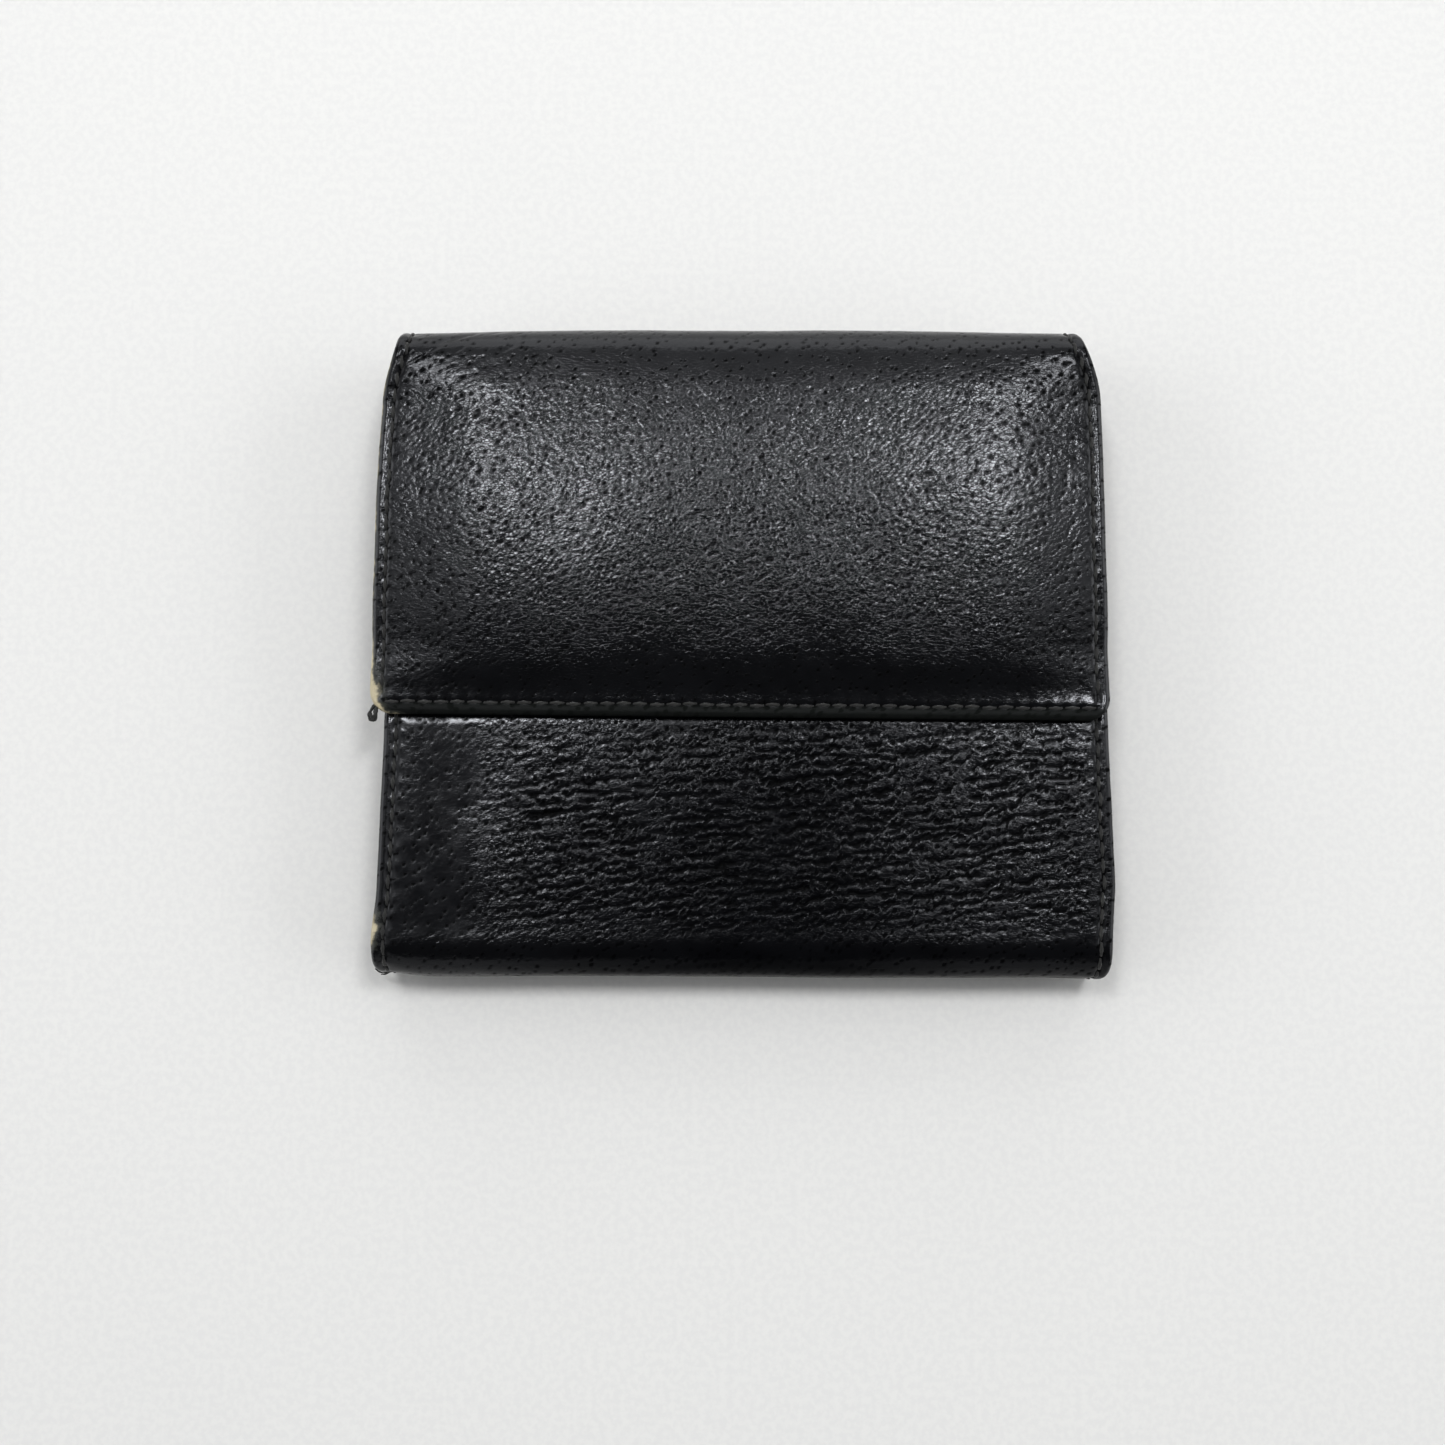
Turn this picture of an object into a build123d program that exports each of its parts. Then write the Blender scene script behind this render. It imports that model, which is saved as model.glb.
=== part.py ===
"""Trifold wallet, closed, lying on its back. Millimetres, +X right, +Y towards the top fold, +Z up."""

import math
import os

from build123d import *

os.makedirs("parts", exist_ok=True)

# Outside size of the closed wallet
TOP_Y = 50.0
BOTTOM_Y = -50.0
TOP_HALF_WIDTH = 54.5
BOTTOM_HALF_WIDTH = 57.0
FLAP_Z = 17.0
FRONT_Z = 13.0
TOP_RADIUS = 6.0
BOTTOM_RADIUS = 5.0

# Where the folds turn, as angles round their corner arcs
BACK_TOP_TURN = -32.0
FLAP_TURN = 60.0
BACK_BOTTOM_TURN = -45.0
FRONT_TURN = 60.0
FOLD_GAP = 0.2

# The flap's crown and tip: Y and Z of its outside surface
FLAP_CROWN = [(40, 17.6), (32, 18.4), (22, 18.8), (12, 18.6), (4, 17.9), (-3, 16.5), (-9.5, 14.95), (-11.2, 14.75)]
FRONT_TIP_Y = -1.5
TIP_CORNER = 3.0

# Sheet thicknesses
LEATHER = 1.1
BOARD = 0.4
LINING = 0.3
DIVIDER = 0.6
BACKING = 0.5
SLOT = 0.55
POCKET = 0.55
FILM = 0.12
FRAME = 0.45
SHEET_GAP = 0.02

# How far the inner sheets stay in from the wallet's side edges
BOARD_INSET = 4.5
LINING_INSET = 1.5
BACK_BOARD_Y = 42.0
FLAP_BOARD_Y = (-3.0, 43.0)
CARD_BACKING_Y = 43.0
SPINE_HALF_WIDTH = 52.9

# Farther out than any edge, for cutting shapes that need no trim there
BEYOND = 60.0

# The bill compartment, open on +X
BILL_HEIGHT = 5.0
BILL_INSET = 2.5
PANEL_Y = 44.0

# Card slots: how far down each mouth sits from the one behind
SLOT_MOUTH_Y = 40.0
SLOT_STEP = 11.0
SLOT_COUNT = 4
SLOT_INSET = 4.0
THUMB_RADIUS = 9.0
THUMB_DEPTH = 4.0

# The flap's inside
FLAP_INSIDE_Z = 13.3
PAD_SIZE = (96.0, 45.0)
PAD_CENTRE_Y = 19.5
FLAP_POCKET_TOPS = [38.0, 27.0]
FLAP_POCKET_BOTTOM = 1.0

# The ID window inside the front panel
WINDOW_SIZE = (70.0, 26.0)
WINDOW_CENTRE_Y = -23.0

# Stitching
SEAM_INSET = 1.9
STITCH_PITCH = 2.55
STITCH_SIZE = (1.7, 0.56, 0.3)
STITCH_LIFT = 0.12
GROOVE_DEPTH = 0.5
GROOVE_WIDTH = 0.8


def half_width(y):
    """The wallet's half width at Y: it widens a little towards the bottom fold."""
    share = (TOP_Y - y) / (TOP_Y - BOTTOM_Y)
    return TOP_HALF_WIDTH + share * (BOTTOM_HALF_WIDTH - TOP_HALF_WIDTH)


# A path is a list of places (y, z, ny, nz) on the outside surface, each with its inward normal


def arc(centre, radius, start, end, side=1):
    """Places along an arc in the YZ plane, its angle from +Y (side 1) or from -Y (side -1)."""
    steps = max(3, round(abs(end - start) / 8))
    places = []
    for i in range(steps + 1):
        angle = math.radians(start + (end - start) * i / steps)
        ny, nz = -side * math.cos(angle), -math.sin(angle)
        places.append((centre[0] - radius * ny, centre[1] - radius * nz, ny, nz))
    return places


def line(start, end, steps=4):
    """Evenly spaced places from one to another, both included."""
    places = []
    for i in range(steps + 1):
        share = i / steps
        places.append(tuple(a + share * (b - a) for a, b in zip(start, end)))
    return places


def join(*runs):
    """One path from several that meet end to end."""
    places = list(runs[0])
    for run in runs[1:]:
        places.extend(run[1:])
    return places


TOP_LOW = (TOP_Y - TOP_RADIUS, TOP_RADIUS)
TOP_HIGH = (TOP_Y - TOP_RADIUS, FLAP_Z - TOP_RADIUS)
BOTTOM_LOW = (BOTTOM_Y + BOTTOM_RADIUS, BOTTOM_RADIUS)
BOTTOM_HIGH = (BOTTOM_Y + BOTTOM_RADIUS, FRONT_Z - BOTTOM_RADIUS)


def gap_angle(radius):
    """Half the fold gap as an angle round a corner."""
    return math.degrees(FOLD_GAP / 2 / radius)


def flap_path():
    """From the flap's tip over its crown to the top fold."""
    corner = arc(TOP_HIGH, TOP_RADIUS, 82, FLAP_TURN + gap_angle(TOP_RADIUS))
    points = list(reversed(FLAP_CROWN)) + [corner[0][:2]]
    crown = []
    for i, (y, z) in enumerate(points[:-1]):
        before = points[max(i - 1, 0)]
        after = points[i + 1]
        dy, dz = after[0] - before[0], after[1] - before[1]
        length = math.hypot(dy, dz)
        crown.append((y, z, dz / length, -dy / length))
    return crown + corner


def top_spine_path():
    """Down the top fold."""
    cut = gap_angle(TOP_RADIUS)
    high = arc(TOP_HIGH, TOP_RADIUS, FLAP_TURN - cut, 0)
    low = arc(TOP_LOW, TOP_RADIUS, 0, BACK_TOP_TURN + cut)
    return join(high, line(high[-1], low[0]), low)


def back_path():
    """From the top fold along the underside to the bottom fold."""
    top = arc(TOP_LOW, TOP_RADIUS, BACK_TOP_TURN - gap_angle(TOP_RADIUS), -90)
    bottom = arc(BOTTOM_LOW, BOTTOM_RADIUS, -90, BACK_BOTTOM_TURN - gap_angle(BOTTOM_RADIUS), -1)
    return join(top, line(top[-1], bottom[0], 12), bottom)


def bottom_spine_path():
    """Up the bottom fold."""
    cut = gap_angle(BOTTOM_RADIUS)
    low = arc(BOTTOM_LOW, BOTTOM_RADIUS, BACK_BOTTOM_TURN + cut, 0, -1)
    high = arc(BOTTOM_HIGH, BOTTOM_RADIUS, 0, FRONT_TURN - cut, -1)
    return join(low, line(low[-1], high[0]), high)


def front_path():
    """From the bottom fold along the front panel to its end under the flap."""
    corner = arc(BOTTOM_HIGH, BOTTOM_RADIUS, FRONT_TURN + gap_angle(BOTTOM_RADIUS), 90, -1)
    return join(corner, line(corner[-1], (FRONT_TIP_Y, FRONT_Z, 0, -1), 6))


def offset(path, depth):
    """The YZ points at a depth under a path."""
    return [(y + depth * ny, z + depth * nz) for y, z, ny, nz in path]


def curve(points, smooth):
    """The edges through YZ points: one smooth spline or straight runs."""
    spots = [(0, y, z) for y, z in points]
    return [Spline(*spots)] if smooth else Polyline(*spots).edges()


def swept(edges):
    """A closed YZ profile extruded over the wallet's full width."""
    face = make_face(Wire(edges))
    return extrude(face, amount=BEYOND, dir=(1, 0, 0), both=True)


def ribbon(path, outer, inner, smooth=False):
    """A sheet following a path, between two depths under it."""
    top, low = offset(path, outer), offset(path, inner)
    ends = [Line((0, *top[i]), (0, *low[i])) for i in (0, -1)]
    return swept([*curve(top, smooth), *curve(low, smooth), *ends])


def plan(y_low, y_high, inset=0.0, z_low=-10.0, z_high=40.0, open_side=False):
    """The wallet's tapering outline between two Y, drawn in from its side edges."""
    right = 0.0 if open_side else inset
    corners = [
        (-half_width(y_low) + inset, y_low),
        (half_width(y_low) - right, y_low),
        (half_width(y_high) - right, y_high),
        (-half_width(y_high) + inset, y_high),
    ]
    face = make_face(Polyline(*corners, close=True))
    return extrude(Pos(0, 0, z_low) * face, amount=z_high - z_low)


def slab(y_low, y_high, z, thickness, inset, tip=None):
    """A flat sheet with the wallet's taper; its corners at the Y of the tip are rounded."""
    sheet = plan(y_low, y_high, inset, z, z + thickness)
    return rounded(sheet, tip) if tip is not None else sheet


def rounded(sheet, y):
    """A sheet with the two plan corners at Y rounded."""
    corners = [
        edge
        for edge in sheet.edges().filter_by(Axis.Z)
        if abs(edge.center().Y - y) < 0.01
    ]
    return fillet(corners, TIP_CORNER)


def seam_band(y_low, y_high):
    """Two strips over the side seams."""
    outer = plan(y_low, y_high, SEAM_INSET - GROOVE_WIDTH / 2)
    return outer - plan(y_low - 1, y_high + 1, SEAM_INSET + GROOVE_WIDTH / 2)


def cover(path, y_low, y_high, tip=None, hem=None, smooth=False):
    """Outer leather along a path, its outline trimmed, with grooves for the side seams and any hem."""
    outline = plan(y_low, y_high)
    if tip is not None:
        outline = rounded(outline, tip)
    leather = ribbon(path, 0, LEATHER, smooth) & outline
    groove = ribbon(path, -0.1, GROOVE_DEPTH, smooth)
    leather -= groove & seam_band(y_low, y_high)
    if hem is not None:
        low, high = hem - GROOVE_WIDTH / 2, hem + GROOVE_WIDTH / 2
        leather -= groove & plan(low, high, SEAM_INSET)
    return leather


def between(first, second, share):
    """The place part of the way from one place to the next."""
    return tuple(a + share * (b - a) for a, b in zip(first, second))


def spots(path, pitch):
    """Evenly spaced places along a path."""
    steps = [math.dist(a[:2], b[:2]) for a, b in zip(path, path[1:])]
    total = sum(steps)
    count = int((total - pitch) / pitch)
    result = []
    for i in range(count + 1):
        along = (total - count * pitch) / 2 + i * pitch
        k = 0
        while along > steps[k]:
            along -= steps[k]
            k += 1
        result.append(between(path[k], path[k + 1], along / steps[k]))
    return result


def stitch(x, y, z, ny, nz, along_x=False):
    """One stitch lying just under the leather's surface."""
    length, width, height = STITCH_SIZE
    size = (length, width, height) if along_x else (width, length, height)
    depth = GROOVE_DEPTH - STITCH_LIFT - height / 2
    tilt = math.degrees(math.atan2(ny, -nz))
    place = Pos(x, y + depth * ny, z + depth * nz) * Rot(tilt, 0, 0)
    return place * Box(*size)


def side_stitches(path):
    """Stitches down both side seams of a path."""
    result = []
    for y, z, ny, nz in spots(path, STITCH_PITCH):
        for side in (-1, 1):
            result.append(stitch(side * (half_width(y) - SEAM_INSET), y, z, ny, nz))
    return result


def hem_stitches(path, y):
    """Stitches across the end of a path, at Y."""
    for first, second in zip(path, path[1:]):
        if first[0] <= y <= second[0]:
            share = (y - first[0]) / (second[0] - first[0])
            _, z, ny, nz = between(first, second, share)
    reach = half_width(y) - SEAM_INSET - STITCH_PITCH
    count = int(2 * reach / STITCH_PITCH)
    result = []
    for i in range(count + 1):
        x = (i - count / 2) * STITCH_PITCH
        result.append(stitch(x, y, z, ny, nz, along_x=True))
    return result


def thread(points, radius=0.22):
    """A loose thread through points, of round section."""
    path = Spline(*points)
    start = Plane(origin=path @ 0, z_dir=path % 0)
    return sweep(start * Circle(radius), path=path)


def write(name, shape):
    """One node as a STEP file."""
    if isinstance(shape, list):
        shape = Compound(children=shape)
    shape.label = name
    export_step(shape, f"parts/{name}.step")


def back_nodes():
    """The middle panel: outer leather, bill compartment and card slots."""
    path = back_path()
    write("back_cover", cover(path, -49.9, 49.9))
    write("back_stitching", side_stitches(path))
    board_z = LEATHER + SHEET_GAP
    write("back_stiffener", slab(-BACK_BOARD_Y, BACK_BOARD_Y, board_z, BOARD, BOARD_INSET))
    lining_z = board_z + BOARD
    write("back_lining", slab(-PANEL_Y, PANEL_Y, lining_z, LINING, LINING_INSET))
    bill_z = lining_z + LINING
    divider_z = bill_z + BILL_HEIGHT
    gusset = plan(-PANEL_Y, PANEL_Y, BILL_INSET, bill_z, divider_z, open_side=True)
    gusset -= plan(-PANEL_Y - 1, PANEL_Y + 1, BILL_INSET + 0.6, bill_z, divider_z, open_side=True)
    write("bill_side_gusset", gusset)
    write("bill_divider", slab(-PANEL_Y, PANEL_Y, divider_z, DIVIDER, BILL_INSET))
    backing_z = divider_z + DIVIDER
    write("card_panel_backing", slab(-PANEL_Y, CARD_BACKING_Y, backing_z, BACKING, SLOT_INSET - 0.5))
    for i in range(SLOT_COUNT):
        z = backing_z + BACKING + i * SLOT
        write(f"card_slot_{i + 1}", card_slot(SLOT_MOUTH_Y - i * SLOT_STEP, z))


def card_slot(mouth_y, z):
    """One pocket layer with a thumb notch in its mouth."""
    layer = slab(-PANEL_Y + 1, mouth_y, z, SLOT, SLOT_INSET)
    lift = THUMB_RADIUS - THUMB_DEPTH
    notch = Pos(0, mouth_y + lift, z + SLOT / 2) * Cylinder(THUMB_RADIUS, 2 * SLOT)
    return layer - notch


def spine_nodes(name, path, divider_y, z_low, z_high, outward):
    """A fold: outer leather, lining and the strip of divider that crosses it."""
    write(f"{name}_cover", cover(path, -BEYOND, BEYOND))
    write(f"{name}_stitching", side_stitches(path))
    trim = plan(-BEYOND, BEYOND, LINING_INSET)
    write(f"{name}_lining", ribbon(path, LEATHER + SHEET_GAP, LEATHER + LINING + SHEET_GAP) & trim)
    strip_y = divider_y + outward * DIVIDER / 2
    strip = Pos(0, strip_y, (z_low + z_high) / 2) * Box(2 * SPINE_HALF_WIDTH, DIVIDER, z_high - z_low)
    lining_y = (TOP_Y if outward > 0 else -BOTTOM_Y) - LEATHER - LINING - 2 * SHEET_GAP
    reach = lining_y - abs(divider_y)
    tab_y = divider_y + outward * reach / 2
    tab_x = -SPINE_HALF_WIDTH + DIVIDER / 2
    tab = Pos(tab_x, tab_y, (z_low + z_high) / 2) * Box(DIVIDER, reach, z_high - z_low)
    write(f"{name}_divider", strip + tab)


def flap_nodes():
    """The flap: padded leather on a board, with slip pockets inside."""
    path = flap_path()
    tip_y = FLAP_CROWN[-1][0]
    hem_y = tip_y + SEAM_INSET
    write("flap_cover", cover(path, tip_y + 0.05, BEYOND, tip=tip_y + 0.05, hem=hem_y, smooth=True))
    write("flap_stitching", side_stitches(path[1:]) + hem_stitches(path, hem_y))
    lining_z = FLAP_INSIDE_Z
    board_z = lining_z + LINING
    pad_z = board_z + BOARD
    write("flap_lining", slab(tip_y + 1.0, PANEL_Y, lining_z, LINING, LINING_INSET, tip=tip_y + 1.0))
    write("flap_stiffener", slab(*FLAP_BOARD_Y, board_z, BOARD, BOARD_INSET))
    write("flap_padding", padding(path, pad_z))
    for i, top in enumerate(FLAP_POCKET_TOPS):
        z = lining_z - (i + 1) * POCKET
        write(f"flap_slip_pocket_{i + 1}", slab(FLAP_POCKET_BOTTOM, top, z, POCKET, SLOT_INSET))
    x = -half_width(tip_y)
    y = tip_y
    knot = [(x + 0.6, y + 2.5, 13.75), (x - 0.9, y + 3.3, 14.0), (x - 1.7, y + 1.9, 14.3), (x - 0.5, y + 0.2, 14.1)]
    write("flap_loose_thread", thread(knot))


def padding(path, floor_z):
    """Foam filling the flap between its board and the inside of its leather."""
    ceiling = offset(path, LEATHER + SHEET_GAP)
    first, last = ceiling[0], ceiling[-1]
    profile = [
        *curve(ceiling, smooth=True),
        Line((0, *last), (0, last[0], floor_z - 3)),
        Line((0, last[0], floor_z - 3), (0, first[0], floor_z - 3)),
        Line((0, first[0], floor_z - 3), (0, *first)),
    ]
    width, length = PAD_SIZE
    block = Pos(0, PAD_CENTRE_Y, floor_z + 5) * Box(width, length, 10)
    return swept(profile) & block


def front_nodes():
    """The front panel: outer leather on a board, with an ID window inside."""
    path = front_path()
    hem_y = FRONT_TIP_Y - SEAM_INSET
    write("front_cover", cover(path, -BEYOND, FRONT_TIP_Y - 0.05, tip=FRONT_TIP_Y - 0.05, hem=hem_y))
    write("front_stitching", side_stitches(path[:-1]) + hem_stitches(path, hem_y))
    board_z = FRONT_Z - LEATHER - SHEET_GAP - BOARD
    lining_z = board_z - LINING
    low, high = BOTTOM_Y + BOTTOM_RADIUS, FRONT_TIP_Y - 1.0
    write("front_stiffener", slab(low + 1, high - 2.5, board_z, BOARD, BOARD_INSET))
    write("front_lining", slab(low, high, lining_z, LINING, LINING_INSET))
    width, length = WINDOW_SIZE
    film = Pos(0, WINDOW_CENTRE_Y, lining_z - FILM / 2) * Box(width + 6, length + 6, FILM)
    write("id_window_film", film)
    frame_z = lining_z - FILM - FRAME
    frame = slab(low + 1, high - 1, frame_z, FRAME, SLOT_INSET)
    opening = Pos(0, WINDOW_CENTRE_Y, frame_z + FRAME / 2) * Box(width, length, 2 * FRAME)
    spacer = slab(low + 1, high - 1, frame_z + FRAME, FILM, SLOT_INSET)
    spacer -= Pos(0, WINDOW_CENTRE_Y, lining_z - FILM / 2) * Box(width + 6.2, length + 6.2, 2 * FILM)
    write("id_window_frame", frame - opening + spacer)


def bottom_thread():
    """The frayed end at the bottom left corner."""
    x = -half_width(BOTTOM_Y)
    points = [(x + 1.6, -49.9, 2.9), (x + 0.8, -50.3, 2.7), (x - 0.3, -50.5, 3.2), (x - 0.8, -49.9, 4.2)]
    write("bottom_loose_thread", thread(points, 0.15))


back_nodes()
spine_nodes("top_spine", top_spine_path(), 46.0, 7.6, 11.0, 1)
flap_nodes()
spine_nodes("bottom_spine", bottom_spine_path(), -46.0, 5.2, 7.9, -1)
front_nodes()
bottom_thread()
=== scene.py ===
"""A worn black pigskin trifold wallet, closed, on a pale floor. Shapes are worked out in millimetres in the
CAD frame (+X right, +Y towards the top fold, +Z up) and turned to metres as each mesh is made."""

import math

import bpy
import numpy as np
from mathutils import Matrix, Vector


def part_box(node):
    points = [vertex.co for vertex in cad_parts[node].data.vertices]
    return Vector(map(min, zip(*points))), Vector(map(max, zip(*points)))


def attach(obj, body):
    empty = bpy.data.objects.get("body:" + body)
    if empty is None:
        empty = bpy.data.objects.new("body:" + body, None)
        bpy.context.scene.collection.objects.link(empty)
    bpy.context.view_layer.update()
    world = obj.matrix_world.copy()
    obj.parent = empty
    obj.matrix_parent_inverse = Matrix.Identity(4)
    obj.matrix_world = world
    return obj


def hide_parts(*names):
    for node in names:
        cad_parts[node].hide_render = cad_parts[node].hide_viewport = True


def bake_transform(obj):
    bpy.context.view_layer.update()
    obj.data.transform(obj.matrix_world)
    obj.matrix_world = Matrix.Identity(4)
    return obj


MM = 0.001
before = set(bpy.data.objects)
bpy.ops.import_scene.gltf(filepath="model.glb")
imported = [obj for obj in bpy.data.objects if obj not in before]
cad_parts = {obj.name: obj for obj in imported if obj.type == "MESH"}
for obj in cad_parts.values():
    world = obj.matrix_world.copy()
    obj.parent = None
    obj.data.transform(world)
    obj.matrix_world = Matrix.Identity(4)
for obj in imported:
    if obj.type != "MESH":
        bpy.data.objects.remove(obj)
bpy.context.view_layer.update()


def box_mm(node):
    """The lowest and highest corners of a CAD node, in millimetres."""
    low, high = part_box(node)
    return np.array(low) / MM, np.array(high) / MM


FLAP_LOW, FLAP_HIGH = box_mm("flap_cover")
_, TOP_HIGH = box_mm("top_spine_cover")
BOTTOM_LOW, BOTTOM_HIGH = box_mm("bottom_spine_cover")
_, FRONT_HIGH = box_mm("front_cover")
LINING_LOW, _ = box_mm("flap_lining")
TOP_Y = TOP_HIGH[1]
BOTTOM_Y = BOTTOM_LOW[1]
CROWN_Z = FLAP_HIGH[2]
FRONT_Z = FRONT_HIGH[2]
FRONT_TIP_Y = FRONT_HIGH[1]
TIP_Y = FLAP_LOW[1]
FLAP_INSIDE_Z = LINING_LOW[2]
TOP_HALF_WIDTH = TOP_HIGH[0]
BOTTOM_HALF_WIDTH = BOTTOM_HIGH[0]
FOLD_Z = CROWN_Z - 1.8
TOP_RADIUS = 6.0
BOTTOM_RADIUS = 5.0
ASKEW = 0.5

# Leather, its turned edges and its seams
LEATHER = 1.0
EDGE = 1.6
TURN_WIDTH = 6.0
CORNER = 3.8
SEAM = 1.9
PITCH = 2.55
STITCH = 0.9 * PITCH
LINING = 0.3
LINING_SIDE = 3.4
LINING_TIP = 2.6

# How fine the meshes are
GRAIN_STEP = 0.3
COARSE_STEP = 1.2


# ---- numbers


def ramp(low, high, v):
    """0 at low, 1 at high, smooth between; low may be above high."""
    t = np.clip((v - low) / (high - low), 0, 1)
    return t * t * (3 - 2 * t)


def bell(v, middle, reach):
    """1 at the middle, falling smoothly towards 0 on both sides."""
    return np.exp(-(((v - middle) / reach) ** 2))


def hashed(i, j, seed):
    """A repeatable number from 0 to 1 for each whole-number cell."""
    n = np.sin(i * 127.1 + j * 311.7 + seed * 74.7) * 43758.5453
    return n - np.floor(n)


def noise(x, y, seed):
    """Smooth value noise from -1 to 1."""
    i, j = np.floor(x), np.floor(y)
    u, v = ramp(0, 1, x - i), ramp(0, 1, y - j)
    low = hashed(i, j, seed) * (1 - u) + hashed(i + 1, j, seed) * u
    high = hashed(i, j + 1, seed) * (1 - u) + hashed(i + 1, j + 1, seed) * u
    return 2 * (low * (1 - v) + high * v) - 1


def layered(x, y, seed, layers=3):
    """Noise at several sizes, each half as large and half as strong."""
    total = 0
    for k in range(layers):
        total = total + noise(x * 2**k, y * 2**k, seed + k) / 2**k
    return total / 1.6


def cells(x, y, seed):
    """The distances to the nearest and second nearest of scattered points."""
    i, j = np.floor(x), np.floor(y)
    first = np.full(np.broadcast(x, y).shape, 9.0)
    second = first.copy()
    for di in (-1, 0, 1):
        for dj in (-1, 0, 1):
            px = i + di + hashed(i + di, j + dj, seed)
            py = j + dj + hashed(i + di, j + dj, seed + 5)
            far = np.hypot(x - px, y - py)
            second = np.minimum(second, np.maximum(first, far))
            first = np.minimum(first, far)
    return first, second


# ---- paths


def arc(cy, cz, radius, start, end, steps=24):
    """Points on an arc; angles from +Y towards +Z."""
    a = np.radians(np.linspace(start, end, steps))
    return np.stack([cy + radius * np.cos(a), cz + radius * np.sin(a)], 1)


def through(points, steps=16):
    """A smooth curve through points."""
    p = np.array(points, float)
    p = np.vstack([2 * p[0] - p[1], p, 2 * p[-1] - p[-2]])
    t = np.linspace(0, 1, steps, endpoint=False)[:, None]
    runs = []
    for a, b, c, d in zip(p, p[1:], p[2:], p[3:]):
        runs.append(
            0.5 * (2 * b + (c - a) * t + (2 * a - 5 * b + 4 * c - d) * t**2 + (3 * b - a - 3 * c + d) * t**3)
        )
    return np.vstack(runs + [p[-2:-1]])


class Path:
    """A curve in the YZ plane, measured along itself; its depth runs to the right of its direction."""

    def __init__(self, points, soften=0.5):
        step = np.hypot(*np.diff(points, axis=0).T)
        along = np.concatenate([[0], np.cumsum(step)])
        self.s = np.arange(0, along[-1], 0.1)
        y = np.interp(self.s, along, points[:, 0])
        z = np.interp(self.s, along, points[:, 1])
        if soften:
            reach = int(soften * 30)
            weights = np.exp(-0.5 * (np.arange(-reach, reach + 1) / (soften * 10)) ** 2)
            weights /= weights.sum()
            y = self.smoothed(y, weights, reach)
            z = self.smoothed(z, weights, reach)
        self.y, self.z = y, z
        ty, tz = np.gradient(y), np.gradient(z)
        size = np.hypot(ty, tz)
        self.ny, self.nz = tz / size, -ty / size

    @staticmethod
    def smoothed(v, weights, reach):
        """A line of numbers smoothed, its ends kept."""
        before = 2 * v[0] - v[reach:0:-1]
        after = 2 * v[-1] - v[-2 : -reach - 2 : -1]
        return np.convolve(np.concatenate([before, v, after]), weights, "valid")

    def at(self, s, depth=0.0):
        """Y and Z at a place along the path, at a depth under it."""
        y, z = np.interp(s, self.s, self.y), np.interp(s, self.s, self.z)
        ny, nz = np.interp(s, self.s, self.ny), np.interp(s, self.s, self.nz)
        return y + depth * ny, z + depth * nz

    def near(self, y, z):
        """How far along the path the place nearest to Y, Z is."""
        return float(self.s[np.argmin(np.hypot(self.y - y, self.z - z))])


def outer_points():
    """The wallet's outside, from the flap's tip over the folds and the back to the front panel's tip."""
    top = TOP_Y - TOP_RADIUS
    low = BOTTOM_Y + BOTTOM_RADIUS
    tip = TIP_Y - ASKEW
    rim = FLAP_INSIDE_Z + EDGE
    crown = through([
        (tip, rim - 0.1),
        (tip + 2.0, rim),
        (tip + 4.5, rim + 0.25),
        (tip + 9, FOLD_Z - 0.35),
        (tip + 16, CROWN_Z - 0.9),
        (tip + 24, CROWN_Z - 0.2),
        (tip + 34, CROWN_Z),
        (tip + 44, CROWN_Z - 0.5),
        (top - 4, CROWN_Z - 1.2),
    ])
    return np.vstack([
        crown,
        arc(top, FOLD_Z - TOP_RADIUS, TOP_RADIUS, 86, 0),
        arc(top, TOP_RADIUS, TOP_RADIUS, 0, -90),
        arc(low, BOTTOM_RADIUS, BOTTOM_RADIUS, -90, -180),
        arc(low, FRONT_Z - BOTTOM_RADIUS, BOTTOM_RADIUS, 180, 90),
        [(FRONT_TIP_Y, FRONT_Z)],
    ])


OUTER = Path(outer_points())
LENGTH = OUTER.s[-1]


def outer_at(x, s, depth=0.0):
    """Y and Z at x, s on the outside: the flap's end is sewn a little askew, longer on the right."""
    return OUTER.at(s + ASKEW * (1 - x / BOTTOM_HALF_WIDTH) * ramp(40, 4, s), depth)


def sideways(s):
    """How far the leather lies to the right: the flap a little left, the front panel a little right."""
    corner = 0.6 * bell(s, S_TOP, 9)
    return 0.65 * ramp(S_FRONT - 1, S_FRONT + 9, s) - 0.3 * ramp(S_RIDGE + 4, S_RIDGE - 22, s) - corner


# Places along the outside
S_PAD = OUTER.near(TIP_Y + 6, FOLD_Z - 0.8)
S_RIDGE = OUTER.near(TOP_Y - 8, FOLD_Z + 0.8)
S_TOP = OUTER.near(TOP_Y, FOLD_Z / 2)
S_BACK_TOP = OUTER.near(TOP_Y - 10, 0)
S_BACK_BOTTOM = OUTER.near(BOTTOM_Y + 9, 0)
S_BOTTOM = OUTER.near(BOTTOM_Y, FRONT_Z / 2)
S_FRONT = OUTER.near(BOTTOM_Y + BOTTOM_RADIUS, FRONT_Z)


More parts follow.
